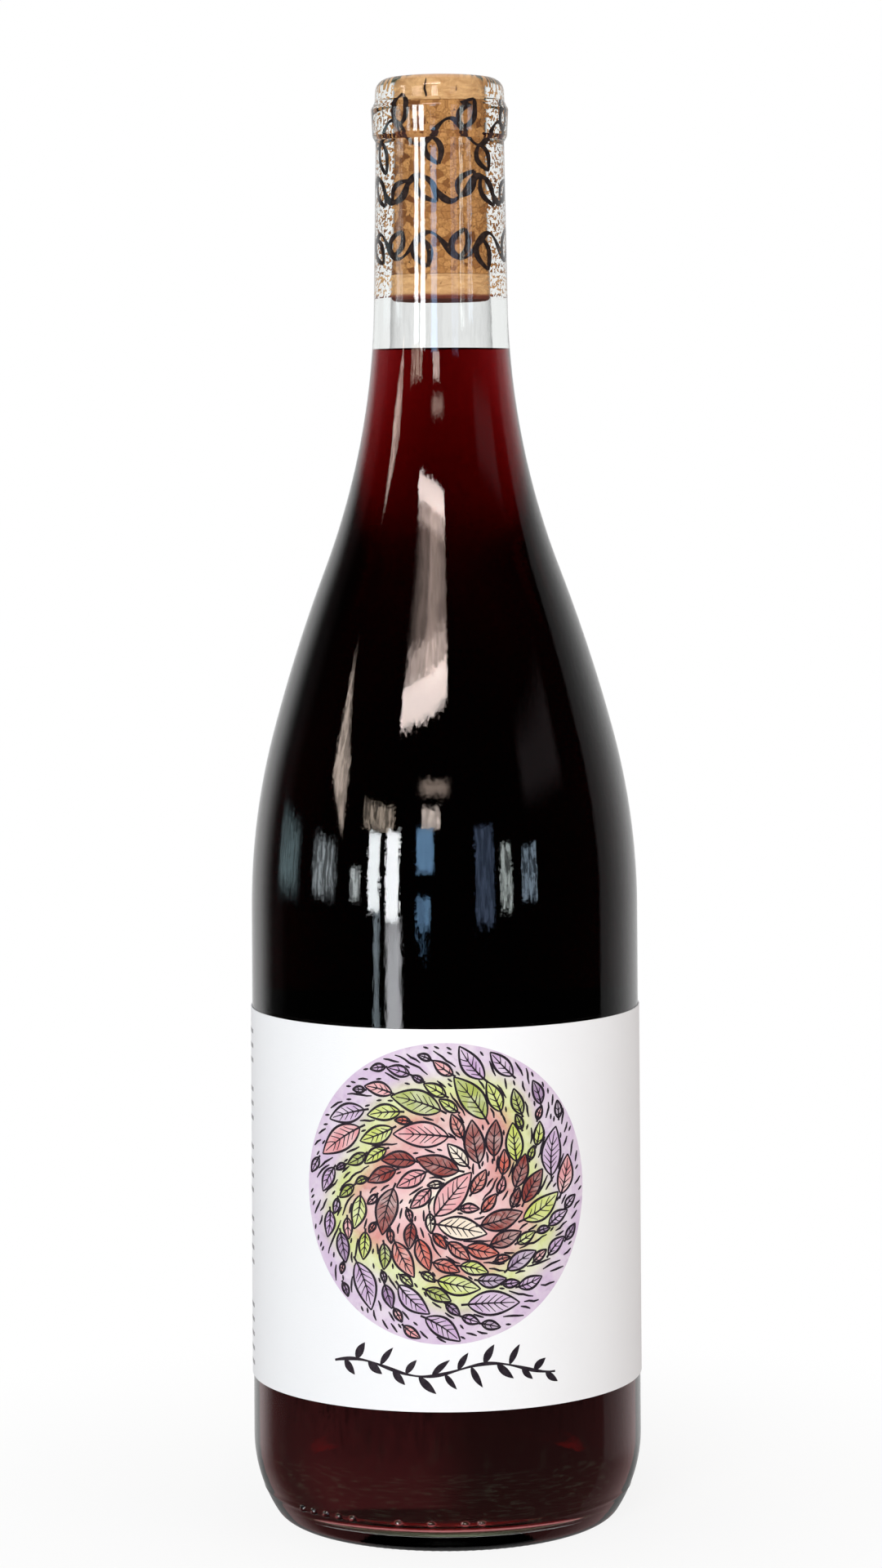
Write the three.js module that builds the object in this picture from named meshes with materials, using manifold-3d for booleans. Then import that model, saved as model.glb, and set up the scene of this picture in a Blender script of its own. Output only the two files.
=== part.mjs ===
// Wine bottle of 750 ml with sloping shoulders: clear glass filled with red wine into the neck,
// shut by a cork pushed flush with the mouth, with one paper label wrapped round the body.
// Millimetres, +Z up. The origin is the middle of the foot and the label's front faces -Y.

import * as THREE from "three";
import { mergeVertices } from "three/addons/utils/BufferGeometryUtils.js";
import Module from "manifold-3d";

// Overall sizes
const HEIGHT = 296;
const SEGMENTS = 54;
const FIT_GAP = 0.05;

// Body and shoulder, as arcs that run into each other
const BODY_RADIUS_AT_HEEL = 40.3;
const BODY_RADIUS_AT_SHOULDER = 39.8;
const SHOULDER_START = 127;
const SHOULDER_RADIUS = 142;
const SHOULDER_LEAN = 15;
const SLOPE_RADIUS = 335;
const SLOPE_LEAN = 21;
const NECK_SWEEP_RADIUS = 158;
const NECK_SWEEP_LEAN = 1.9;
const NECK_RADIUS = 13.1;

// Mouth: a plain lip over a wider collar
const COLLAR_RADIUS = 13.97;
const COLLAR_BOTTOM = 283.2;
const COLLAR_TOP = 291.4;
const COLLAR_LOWER_EDGE = 1.5;
const COLLAR_UPPER_EDGE = 1.9;
const COLLAR_EASING = 0.15;
const LIP_RADIUS = 13.13;
const LIP_ROUND = 2.8;
const MOUTH_ROUND = 1.1;

// Bore, in which the cork sits
const BORE_RADIUS_AT_MOUTH = 9.2;
const BORE_RADIUS_MIDWAY = 9.35;
const BORE_MIDWAY = 272;
const BORE_RADIUS_UNDER_CORK = 10.25;
const WALL_ENDS_AT = 243;

// Heel, foot and the hollow pushed up into the base
const HEEL_RADIUS = 29;
const HEEL_LEAN = 32;
const FOOT_EDGE_RADIUS = 4.2;
const FOOT_WIDTH = 2.8;
const FOOT_INNER_EDGE_RADIUS = 3;
const PUNT_SIDE_LEAN = 35;

// Thickness of the glass
const BODY_WALL = 2.75;
const NECK_WALL = 3.5;
const WALL_GROWS_FROM = 140;
const TROUGH_RADIUS = 4;
const TROUGH_LEAN = 24;
const FLOOR_TILT = 62;

// Row of glass beads low on the heel: places on a grid of equal angles
const BEAD_RADIUS = 0.8;
const BEAD_HEIGHT = 6.85;
const BEAD_PITCH = 5;
const BEAD_PLACES = [-10, -9, -8, -7, -6, -3, -1, 1, 2];

// Contents, cork and label
const FILL_LEVEL = 240.8;
const CORK_TOP = 295.3;
const CORK_LENGTH = 44.2;
const CORK_DISC = 5;
const CORK_EDGE = 0.5;
const LABEL_BOTTOM = 30.2;
const LABEL_TOP = 106.7;
const LABEL_THICKNESS = 0.2;
const LABEL_SEAM_WIDTH = 12;

const degrees = THREE.MathUtils.degToRad;

// An outline in the half plane of radius and height, drawn as a walk of arcs and lines.
// The lean is the angle of the walk from straight up, in degrees, positive towards the axis.
class Walk {
  constructor(radius, height, lean) {
    this.points = [{ radius, height, lean }];
  }

  get end() {
    return this.points[this.points.length - 1];
  }

  // Straight on to a point, with the lean of that line
  to(radius, height) {
    const { radius: fromRadius, height: fromHeight } = this.end;
    const lean = THREE.MathUtils.radToDeg(Math.atan2(fromRadius - radius, height - fromHeight));
    this.end.lean = lean;
    this.points.push({ radius, height, lean });
    return this;
  }

  // Round an arc until the walk leans by the given angle
  arc(arcRadius, lean, steps) {
    const start = this.end;
    const side = Math.sign(lean - start.lean);
    const from = degrees(start.lean);
    for (let step = 1; step <= steps; step += 1) {
      const now = THREE.MathUtils.lerp(start.lean, lean, step / steps);
      const angle = degrees(now);
      this.points.push({
        radius: start.radius - side * arcRadius * (Math.cos(from) - Math.cos(angle)),
        height: start.height + side * arcRadius * (Math.sin(angle) - Math.sin(from)),
        lean: now,
      });
    }
    return this;
  }
}

// Fall in radius over an arc between two leans
function arcInset(arcRadius, fromLean, toLean) {
  return arcRadius * Math.abs(Math.cos(degrees(fromLean)) - Math.cos(degrees(toLean)));
}

// Height of an arc between two leans
function arcRise(arcRadius, fromLean, toLean) {
  return arcRadius * Math.abs(Math.sin(degrees(toLean)) - Math.sin(degrees(fromLean)));
}

// Heel sizes that follow from the driving ones
const heelHeight = arcRise(HEEL_RADIUS, 0, HEEL_LEAN) + arcRise(FOOT_EDGE_RADIUS, HEEL_LEAN, 90);
const footRadius = BODY_RADIUS_AT_HEEL
  - arcInset(HEEL_RADIUS, 0, HEEL_LEAN)
  - arcInset(FOOT_EDGE_RADIUS, HEEL_LEAN, 90);
const footInnerRadius = footRadius - FOOT_WIDTH;

// From the middle of the base over the hollow under it to the inner edge of the foot
function puntOutline() {
  const walk = new Walk(footInnerRadius, 0, 90).arc(FOOT_INNER_EDGE_RADIUS, PUNT_SIDE_LEAN, 2);
  const domeRadius = walk.end.radius / Math.cos(degrees(PUNT_SIDE_LEAN));
  walk.arc(domeRadius, 90, 5);
  walk.end.radius = 0;
  return walk.points.reverse();
}

// From the outer edge of the foot up the rounded heel
function heelOutline() {
  const walk = new Walk(footRadius, 0, -90)
    .arc(FOOT_EDGE_RADIUS, -HEEL_LEAN, 2)
    .arc(HEEL_RADIUS, 0, 5);
  return walk.points;
}

// From the heel up the body and the shoulder to the collar
function bodyOutline() {
  const walk = new Walk(BODY_RADIUS_AT_HEEL, heelHeight, 0)
    .to(BODY_RADIUS_AT_SHOULDER, SHOULDER_START)
    .arc(SHOULDER_RADIUS, SHOULDER_LEAN, 4)
    .arc(SLOPE_RADIUS, SLOPE_LEAN, 2)
    .arc(NECK_SWEEP_RADIUS, NECK_SWEEP_LEAN, 6)
    .to(NECK_RADIUS, COLLAR_BOTTOM);
  return walk.points;
}

// Collar and lip, round the mouth and down into the bore
function mouthOutline() {
  const walk = new Walk(NECK_RADIUS, COLLAR_BOTTOM, 0)
    .to(COLLAR_RADIUS - COLLAR_EASING, COLLAR_BOTTOM + COLLAR_LOWER_EDGE / 2)
    .to(COLLAR_RADIUS, COLLAR_BOTTOM + COLLAR_LOWER_EDGE)
    .to(COLLAR_RADIUS, COLLAR_TOP - COLLAR_UPPER_EDGE)
    .to(LIP_RADIUS, COLLAR_TOP)
    .to(LIP_RADIUS, HEIGHT - LIP_ROUND)
    .arc(LIP_ROUND, 90, 4)
    .to(BORE_RADIUS_AT_MOUTH + MOUTH_ROUND, HEIGHT)
    .arc(MOUTH_ROUND, 180, 2);
  return walk.points.slice(1);
}

// Thickness of the wall at a height: even on the body, growing up into the neck
function wallAt(height) {
  const t = THREE.MathUtils.inverseLerp(WALL_GROWS_FROM, WALL_ENDS_AT, height);
  return THREE.MathUtils.lerp(BODY_WALL, NECK_WALL, THREE.MathUtils.clamp(t, 0, 1));
}

// Points of an outline moved square to it, positive inwards
function inset(points, distance) {
  return points.map(({ radius, height, lean }) => {
    const depth = typeof distance === "function" ? distance(height) : distance;
    return {
      radius: radius - depth * Math.cos(degrees(lean)),
      height: height - depth * Math.sin(degrees(lean)),
      lean,
    };
  });
}

// Inside of the glass from the middle of the floor up to the mouth
function cavityOutline() {
  const wallRadius = BODY_RADIUS_AT_HEEL - BODY_WALL;
  const innerHeelRadius = HEEL_RADIUS - BODY_WALL;
  const tilt = degrees(FLOOR_TILT);
  const lean = degrees(TROUGH_LEAN);
  const troughEdge = wallRadius - arcInset(innerHeelRadius, 0, TROUGH_LEAN);
  const domeRadius = (troughEdge - TROUGH_RADIUS * Math.cos(lean)) / Math.sin(tilt) - TROUGH_RADIUS;
  const floorHeight = heelHeight - arcRise(innerHeelRadius, 0, TROUGH_LEAN)
    + domeRadius * (1 - Math.cos(tilt))
    - TROUGH_RADIUS * (Math.cos(tilt) - Math.sin(lean));
  const floor = new Walk(0, floorHeight, -90)
    .arc(domeRadius, -90 - FLOOR_TILT, 4)
    .arc(TROUGH_RADIUS, -TROUGH_LEAN, 4)
    .arc(innerHeelRadius, 0, 2);
  const wall = inset(bodyOutline().slice(1, -1), wallAt).filter(({ height }) => height < WALL_ENDS_AT);
  const bore = new Walk(wall[wall.length - 1].radius, wall[wall.length - 1].height, 0)
    .to(BORE_RADIUS_UNDER_CORK, CORK_TOP - CORK_LENGTH)
    .to(BORE_RADIUS_MIDWAY, BORE_MIDWAY)
    .to(BORE_RADIUS_AT_MOUTH, HEIGHT - MOUTH_ROUND);
  return [...floor.points, ...wall, ...bore.points.slice(1)];
}

// Radius of an outline at a height, read off its straight stretches
function radiusAt(points, height) {
  const next = points.findIndex((point, index) => index > 0
    && points[index - 1].height <= height
    && point.height >= height);
  const low = points[next - 1];
  const high = points[next];
  const t = THREE.MathUtils.inverseLerp(low.height, high.height, height);
  return THREE.MathUtils.lerp(low.radius, high.radius, t);
}

// A closed solid of revolution about Z from points that start and end on the axis
function turned(points) {
  const profile = points.map(({ radius, height }) => new THREE.Vector2(radius, height));
  return new THREE.LatheGeometry(profile, SEGMENTS).rotateX(Math.PI / 2);
}

function material(color, roughness, opacity = 1) {
  return new THREE.MeshStandardMaterial({
    color,
    roughness,
    metalness: 0,
    transparent: opacity < 1,
    opacity,
  });
}

function named(name, geometry, finish) {
  const mesh = new THREE.Mesh(geometry, finish);
  mesh.name = name;
  return mesh;
}

const wasm = await Module();
wasm.setup();

function toSolid(geometry) {
  const bare = geometry.clone();
  bare.deleteAttribute("normal");
  bare.deleteAttribute("uv");
  const merged = mergeVertices(bare, 1e-4);
  return new wasm.Manifold(new wasm.Mesh({
    numProp: 3,
    vertProperties: new Float32Array(merged.attributes.position.array),
    triVerts: new Uint32Array(merged.index.array),
  }));
}

function toGeometry(solid) {
  const mesh = solid.getMesh();
  const geometry = new THREE.BufferGeometry();
  geometry.setAttribute("position", new THREE.BufferAttribute(mesh.vertProperties, 3));
  geometry.setIndex(new THREE.BufferAttribute(mesh.triVerts, 1));
  geometry.computeVertexNormals();
  return geometry;
}

const cavity = cavityOutline();

// The glass: one wall from the middle of the base round the mouth to the middle of the floor
function makeBottle() {
  const outline = [...puntOutline(), ...heelOutline(), ...bodyOutline().slice(1), ...mouthOutline()];
  const inside = [...cavity].reverse().slice(1);
  let glass = toSolid(turned([...outline, ...inside]));
  const beadRadius = radiusAt(heelOutline(), BEAD_HEIGHT);
  for (const place of BEAD_PLACES) {
    const angle = degrees(place * BEAD_PITCH);
    const bead = new THREE.SphereGeometry(BEAD_RADIUS, 8, 6);
    bead.translate(beadRadius * Math.sin(angle), -beadRadius * Math.cos(angle), BEAD_HEIGHT);
    glass = glass.add(toSolid(bead));
  }
  return named("bottle", toGeometry(glass), material(0xe4ebe6, 0.05, 0.35));
}

// The wine, from the floor of the glass up to its level in the neck
function makeWine() {
  const wetted = inset(cavity, FIT_GAP).filter(({ height }) => height < FILL_LEVEL);
  wetted[0].radius = 0;
  const outline = [
    ...wetted,
    { radius: radiusAt(cavity, FILL_LEVEL) - FIT_GAP, height: FILL_LEVEL },
    { radius: 0, height: FILL_LEVEL },
  ];
  return named("wine", turned(outline), material(0x3a0610, 0.1));
}

// One length of the cork, squeezed to the bore, with its outer edges broken where asked
function makeCork(name, bottom, top, edges, color) {
  const at = (height) => radiusAt(cavity, Math.min(height, HEIGHT - MOUTH_ROUND)) - FIT_GAP;
  const outline = [{ radius: 0, height: bottom }];
  if (edges.bottom) outline.push({ radius: at(bottom) - CORK_EDGE, height: bottom });
  outline.push({ radius: at(bottom), height: bottom + (edges.bottom ? CORK_EDGE : 0) });
  if (bottom < BORE_MIDWAY && top > BORE_MIDWAY) {
    outline.push({ radius: at(BORE_MIDWAY), height: BORE_MIDWAY });
  }
  outline.push({ radius: at(top), height: top - (edges.top ? CORK_EDGE : 0) });
  if (edges.top) outline.push({ radius: at(top) - CORK_EDGE, height: top });
  outline.push({ radius: 0, height: top });
  return named(name, turned(outline), material(color, 0.85));
}

// The label: a ring of paper that follows the taper of the body, open at its seam at the back
function makeLabel() {
  const body = bodyOutline();
  const low = radiusAt(body, LABEL_BOTTOM) + FIT_GAP;
  const high = radiusAt(body, LABEL_TOP) + FIT_GAP;
  const ring = turned([
    { radius: low, height: LABEL_BOTTOM },
    { radius: low + LABEL_THICKNESS, height: LABEL_BOTTOM },
    { radius: high + LABEL_THICKNESS, height: LABEL_TOP },
    { radius: high, height: LABEL_TOP },
    { radius: low, height: LABEL_BOTTOM },
  ]);
  const seam = new THREE.BoxGeometry(LABEL_SEAM_WIDTH, BODY_RADIUS_AT_HEEL, HEIGHT);
  seam.translate(0, BODY_RADIUS_AT_HEEL, HEIGHT / 2);
  const paper = toSolid(ring).subtract(toSolid(seam));
  return named("label", toGeometry(paper), material(0xe9ebee, 0.6));
}

const corkBottom = CORK_TOP - CORK_LENGTH;
const bottle = new THREE.Group();
bottle.add(
  makeBottle(),
  makeWine(),
  makeCork("cork_bottom_disc", corkBottom, corkBottom + CORK_DISC, { bottom: true }, 0xa9713c),
  makeCork("cork", corkBottom + CORK_DISC + FIT_GAP, CORK_TOP - CORK_DISC - FIT_GAP, {}, 0xb98a52),
  makeCork("cork_top_disc", CORK_TOP - CORK_DISC, CORK_TOP, { top: true }, 0xb07d45),
  makeLabel(),
);

export default bottle;
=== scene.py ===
"""Looks of a 750 ml wine bottle: clear glass, red wine, a flush cork and a paper label.

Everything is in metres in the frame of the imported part: +Z up, the origin in the middle of
the foot, and the front of the label facing -Y. Sizes are named in millimetres and turned
into metres where a mesh takes its place.
"""

import logging
import math
import random
from bisect import bisect_left
from collections.abc import Callable, Sequence
from dataclasses import dataclass, field
from enum import Enum
from functools import partial
from typing import Any

import bmesh
import bpy
from mathutils import Matrix, Vector, noise


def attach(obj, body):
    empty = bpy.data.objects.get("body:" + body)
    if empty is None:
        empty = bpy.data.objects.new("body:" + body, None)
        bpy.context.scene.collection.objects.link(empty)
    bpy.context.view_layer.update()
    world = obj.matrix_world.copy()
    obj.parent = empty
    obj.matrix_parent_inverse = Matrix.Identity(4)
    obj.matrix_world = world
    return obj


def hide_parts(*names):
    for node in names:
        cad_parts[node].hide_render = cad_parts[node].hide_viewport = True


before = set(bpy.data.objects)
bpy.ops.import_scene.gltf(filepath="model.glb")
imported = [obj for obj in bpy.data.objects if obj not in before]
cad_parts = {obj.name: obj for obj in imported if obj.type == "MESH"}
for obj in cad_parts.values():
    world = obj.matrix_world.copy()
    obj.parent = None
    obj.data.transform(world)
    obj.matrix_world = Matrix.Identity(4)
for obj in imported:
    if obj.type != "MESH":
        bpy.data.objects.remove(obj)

LOG = logging.getLogger("wine_bottle")
MM = 0.001
BODY = "root"
MERGE_DISTANCE = 1e-7
FLAT_MERGE_DISTANCE = 1e-4
INK_THICKNESS = 0.01
CREASE = math.radians(40.0)

Color = tuple[float, float, float, float]
Triple = tuple[float, float, float]
Flat = tuple[float, float]
Mesh = bmesh.types.BMesh
Socket = bpy.types.NodeSocket


def clamp(value: float) -> float:
    """A value held between 0 and 1."""
    return min(max(value, 0.0), 1.0)


def smooth_step(low: float, high: float, value: float) -> float:
    """Ease from 0 at low to 1 at high."""
    t = clamp((value - low) / (high - low))
    return t * t * (3.0 - 2.0 * t)


def mix(a: float, b: float, t: float) -> float:
    """The value a share t of the way from a to b."""
    return a + (b - a) * t


def grey(value: float) -> Color:
    """A neutral colour."""
    return (value, value, value, 1.0)


def polar(centre: Flat, reach: float, angle: float) -> Flat:
    """The flat place at a reach and an angle from a centre."""
    return centre[0] + reach * math.cos(angle), centre[1] + reach * math.sin(angle)


def on_turn(radius: float, angle: float, height: float) -> Vector:
    """A place round the axis, in metres. Angle 0 is the front, and it grows to the right."""
    return Vector((radius * math.sin(angle), -radius * math.cos(angle), height)) * MM


def off_axis(place: Vector) -> float:
    """How far a place in metres lies from the axis, in millimetres."""
    return math.hypot(place.x, place.y) / MM


@dataclass(frozen=True)
class Spot:
    """A point of an outline in the half plane of radius and height.

    The lean is the angle of the walk from straight up in degrees, positive towards the axis.
    """

    radius: float
    height: float
    lean: float = 0.0


class Walk:
    """An outline drawn as a walk of lines and arcs, in millimetres."""

    def __init__(self, radius: float, height: float, lean: float) -> None:
        """Start at a point, facing along a lean."""
        self.spots = [Spot(radius, height, lean)]

    @property
    def end(self) -> Spot:
        """Where the walk has come to."""
        return self.spots[-1]

    def facing(self, lean: float) -> "Walk":
        """Turn on the spot."""
        self.spots[-1] = Spot(self.end.radius, self.end.height, lean)
        return self

    def to(self, radius: float, height: float, step: float = 4.0) -> "Walk":
        """Go straight on to a point, with a spot at every step at least."""
        start = self.end
        run, rise = start.radius - radius, height - start.height
        lean = math.degrees(math.atan2(run, rise))
        count = max(1, math.ceil(math.hypot(run, rise) / step))
        self.facing(lean)
        for index in range(1, count + 1):
            t = index / count
            self.spots.append(
                Spot(mix(start.radius, radius, t), mix(start.height, height, t), lean))
        return self

    def arc(self, arc_radius: float, lean: float, step: float = 2.0) -> "Walk":
        """Go round an arc until the walk leans by an angle.

        Args:
            arc_radius: Radius of the arc.
            lean: Lean at the arc's end, in degrees.
            step: Longest stretch between two spots.

        Returns:
            The walk itself.
        """
        start = self.end
        side = math.copysign(1.0, lean - start.lean)
        turn = abs(math.radians(lean - start.lean))
        count = max(3, math.ceil(arc_radius * turn / step))
        first = math.radians(start.lean)
        for index in range(1, count + 1):
            now = mix(start.lean, lean, index / count)
            angle = math.radians(now)
            self.spots.append(Spot(
                start.radius - side * arc_radius * (math.cos(first) - math.cos(angle)),
                start.height + side * arc_radius * (math.sin(angle) - math.sin(first)),
                now,
            ))
        return self


def arc_inset(arc_radius: float, start: float, end: float) -> float:
    """Change in radius over an arc between two leans."""
    return arc_radius * abs(math.cos(math.radians(start)) - math.cos(math.radians(end)))


def arc_rise(arc_radius: float, start: float, end: float) -> float:
    """Height of an arc between two leans."""
    return arc_radius * abs(math.sin(math.radians(end)) - math.sin(math.radians(start)))


def inset(spots: Sequence[Spot], distance: Callable[[float], float]) -> list[Spot]:
    """Move the spots of an outline square to it.

    Args:
        spots: The outline.
        distance: How far to move at a height, positive inwards.

    Returns:
        The moved outline.
    """
    moved = []
    for spot in spots:
        depth, lean = distance(spot.height), math.radians(spot.lean)
        moved.append(Spot(spot.radius - depth * math.cos(lean),
                          spot.height - depth * math.sin(lean), spot.lean))
    return moved


class Rise:
    """The part of an outline that rises from its lowest spot, for quick readings."""

    def __init__(self, spots: Sequence[Spot]) -> None:
        """Keep the spots that rise, from the lowest one on."""
        lowest = min(range(len(spots)), key=lambda index: spots[index].height)
        kept = [spots[lowest]]
        for spot in spots[lowest + 1:]:
            if spot.height > kept[-1].height:
                kept.append(spot)
        self.heights = [spot.height for spot in kept]
        self.radii = [spot.radius for spot in kept]

    def radius(self, height: float) -> float:
        """The radius at a height."""
        above = min(max(bisect_left(self.heights, height), 1), len(self.heights) - 1)
        low, high = self.heights[above - 1], self.heights[above]
        return mix(self.radii[above - 1], self.radii[above],
                   clamp((height - low) / (high - low)))


@dataclass(frozen=True)
class BottleShape:
    """Sizes of the glass, in millimetres and degrees, and the outlines that follow from them."""

    height: float = 296.0
    radius_at_heel: float = 40.3
    radius_at_shoulder: float = 39.8
    shoulder_start: float = 127.0
    shoulder_radius: float = 142.0
    shoulder_lean: float = 15.0
    slope_radius: float = 335.0
    slope_lean: float = 21.0
    sweep_radius: float = 158.0
    sweep_lean: float = 1.9
    neck_radius: float = 13.1
    collar_radius: float = 13.97
    collar_bottom: float = 283.2
    collar_top: float = 291.4
    collar_lower_edge: float = 1.5
    collar_upper_edge: float = 1.9
    lip_radius: float = 13.13
    lip_round: float = 2.8
    mouth_round: float = 1.1
    bore_at_mouth: float = 9.2
    bore_midway: float = 9.35
    bore_midway_height: float = 272.0
    bore_under_cork: float = 10.25
    wall_ends_at: float = 243.0
    heel_radius: float = 29.0
    heel_lean: float = 32.0
    foot_edge_radius: float = 4.2
    foot_width: float = 2.8
    foot_inner_edge_radius: float = 3.0
    punt_side_lean: float = 35.0
    body_wall: float = 2.75
    neck_wall: float = 3.5
    wall_grows_from: float = 140.0
    trough_radius: float = 4.0
    trough_lean: float = 24.0
    floor_tilt: float = 62.0
    fill_level: float = 240.8
    cork_top: float = 295.3
    cork_length: float = 44.2
    seam_height: float = 6.6
    seam_ridge: float = 0.1
    seam_width: float = 0.35

    @property
    def cork_bottom(self) -> float:
        """Height of the cork's lower end."""
        return self.cork_top - self.cork_length

    @property
    def heel_height(self) -> float:
        """Height at which the rounded heel runs into the body."""
        return (arc_rise(self.heel_radius, 0, self.heel_lean)
                + arc_rise(self.foot_edge_radius, self.heel_lean, 90))

    @property
    def foot_radius(self) -> float:
        """Outer radius of the ring that the bottle stands on."""
        return (self.radius_at_heel
                - arc_inset(self.heel_radius, 0, self.heel_lean)
                - arc_inset(self.foot_edge_radius, self.heel_lean, 90))

    def punt(self) -> list[Spot]:
        """The hollow base, from its middle to the inner edge of the foot."""
        walk = Walk(self.foot_radius - self.foot_width, 0, 90)
        walk.arc(self.foot_inner_edge_radius, self.punt_side_lean, 0.5)
        dome = walk.end.radius / math.cos(math.radians(self.punt_side_lean))
        walk.arc(dome, 90, 1.5)
        walk.spots[-1] = Spot(0, walk.end.height, 90)
        return walk.spots[::-1]

    def heel(self) -> list[Spot]:
        """The rounded heel with its mould seam, from the foot up to the body."""
        walk = Walk(self.foot_radius, 0, -90).arc(self.foot_edge_radius, -self.heel_lean, 0.5)
        walk.arc(self.heel_radius, 0, 0.4)
        return inset(walk.spots, lambda height: -self.seam_ridge * math.exp(
            -((height - self.seam_height) / self.seam_width) ** 2))

    def body(self) -> list[Spot]:
        """Body, shoulder and neck, from the heel up to the collar."""
        walk = Walk(self.radius_at_heel, self.heel_height, 0)
        walk.to(self.radius_at_shoulder, self.shoulder_start)
        walk.arc(self.shoulder_radius, self.shoulder_lean, 3)
        walk.arc(self.slope_radius, self.slope_lean, 3)
        walk.arc(self.sweep_radius, self.sweep_lean, 2.5)
        return walk.to(self.neck_radius, self.collar_bottom).spots

    def mouth(self) -> list[Spot]:
        """Collar and lip with their small rounds, over the mouth and into the bore."""
        collar, top = self.collar_radius, self.collar_top
        walk = Walk(self.neck_radius, self.collar_bottom, 0).arc(0.25, -55, 0.05)
        walk.to(collar - 0.35, self.collar_bottom + self.collar_lower_edge * 0.62, 0.3)
        walk.arc(0.8, 0, 0.15).to(collar, top - self.collar_upper_edge, 1.2)
        walk.arc(1.1, 42, 0.2).to(self.lip_radius + 0.12, top - 0.15, 0.4)
        walk.arc(0.3, 2, 0.08).to(self.lip_radius, self.height - self.lip_round, 0.4)
        walk.facing(0).arc(self.lip_round, 90, 0.25)
        walk.to(self.bore_at_mouth + self.mouth_round, self.height, 0.3)
        return walk.facing(90).arc(self.mouth_round, 180, 0.2).spots[1:]

    def wall_at(self, height: float) -> float:
        """Thickness of the wall: even on the body, growing up into the neck."""
        return mix(self.body_wall, self.neck_wall, clamp(
            (height - self.wall_grows_from) / (self.wall_ends_at - self.wall_grows_from)))

    def cavity(self) -> list[Spot]:
        """Inside of the glass, from the middle of the floor up to the mouth."""
        inner_heel = self.heel_radius - self.body_wall
        tilt, lean = math.radians(self.floor_tilt), math.radians(self.trough_lean)
        edge = (self.radius_at_heel - self.body_wall
                - arc_inset(inner_heel, 0, self.trough_lean))
        dome = (edge - self.trough_radius * math.cos(lean)) / math.sin(tilt) - self.trough_radius
        floor = (self.heel_height - arc_rise(inner_heel, 0, self.trough_lean)
                 + dome * (1 - math.cos(tilt))
                 - self.trough_radius * (math.cos(tilt) - math.sin(lean)))
        base = Walk(0, floor, -90).arc(dome, -90 - self.floor_tilt, 1.5)
        base.arc(self.trough_radius, -self.trough_lean, 0.6).arc(inner_heel, 0, 1.5)
        wall = [spot for spot in inset(self.body()[1:-1], self.wall_at)
                if base.end.height < spot.height < self.wall_ends_at]
        bore = Walk(wall[-1].radius, wall[-1].height, 0)
        bore.to(self.bore_under_cork, self.cork_bottom, 1.5)
        bore.to(self.bore_midway, self.bore_midway_height)
        bore.to(self.bore_at_mouth, self.height - self.mouth_round)
        return base.spots + wall + bore.spots[1:]

    def outer(self) -> list[Spot]:
        """The outside that rises, from the foot to the collar."""
        return self.heel() + self.body()[1:]


def spun(spots: Sequence[Spot], segments: int) -> Mesh:
    """Turn an outline in millimetres that starts and ends on the axis into a closed body.

    Args:
        spots: The outline.
        segments: Steps of a full turn.

    Returns:
        A mesh in metres with its faces pointing out.
    """
    bm = bmesh.new()
    ring = [bm.verts.new((spot.radius * MM, 0.0, spot.height * MM)) for spot in spots]
    edges = [bm.edges.new(pair) for pair in zip(ring, ring[1:])]
    bmesh.ops.spin(bm, geom=ring + edges, cent=(0, 0, 0), axis=(0, 0, 1), angle=math.tau,
                   steps=segments, use_merge=True)
    bmesh.ops.remove_doubles(bm, verts=bm.verts, dist=MERGE_DISTANCE)
    bmesh.ops.recalc_face_normals(bm, faces=bm.faces)
    return bm


def laid(bm: Mesh, columns: int, rows: int, place: Callable[[float, float], Flat]) -> list[Any]:
    """Add a grid and lay it out flat by a rule.

    Args:
        bm: The mesh that takes the grid.
        columns: Faces along the first axis.
        rows: Faces along the second axis.
        place: Gives the flat place in millimetres for two shares from 0 to 1.

    Returns:
        The grid's vertices.
    """
    made = bmesh.ops.create_grid(bm, x_segments=columns, y_segments=rows, size=0.5)["verts"]
    for vert in made:
        vert.co = Vector((*place(vert.co.x + 0.5, vert.co.y + 0.5), 0.0))
    return made


def along(trail: Sequence[Flat], t: float) -> Flat:
    """The place at a share from 0 to 1 along a trail of evenly spaced places."""
    reach = clamp(t) * (len(trail) - 1)
    index = min(int(reach), len(trail) - 2)
    (u, v), (next_u, next_v) = trail[index], trail[index + 1]
    return mix(u, next_u, reach - index), mix(v, next_v, reach - index)


def stroke(bm: Mesh, path: Callable[[float], Flat], width: Callable[[float], float],
           columns: int) -> None:
    """Add a flat ribbon along a path.

    Args:
        bm: The mesh that takes the ribbon.
        path: Gives the path's flat place for a share from 0 to 1.
        width: Gives the ribbon's width for a share from 0 to 1.
        columns: Faces along the ribbon.
    """
    nudge = 1e-3

    def place(t: float, side: float) -> Flat:
        ahead, behind = path(min(t + nudge, 1.0)), path(max(t - nudge, 0.0))
        run, rise = ahead[0] - behind[0], ahead[1] - behind[1]
        length = math.hypot(run, rise) or 1.0
        half = width(t) * (side - 0.5)
        u, v = path(t)
        return u - rise / length * half, v + run / length * half

    laid(bm, columns, 1, place)


def swelling(line: float, thin: float, swell: float) -> Callable[[float], float]:
    """The width of a brush stroke that swells in its middle."""
    return lambda t: line * (thin + swell * math.sin(math.pi * t))


@dataclass(frozen=True)
class Wrap:
    """Wraps flat work round a turned body, in millimetres.

    The flat work's first axis runs to the right round the body from its front, its second
    axis runs up, and its third is the distance out from the surface.
    """

    surface: Callable[[float], float]
    reference: float

    def apply(self, bm: Mesh, lift: float) -> None:
        """Wrap every vertex, and turn it into metres."""
        for vert in bm.verts:
            u, v, out = vert.co
            vert.co = on_turn(self.surface(v) + lift + out, u / self.reference, v)


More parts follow.
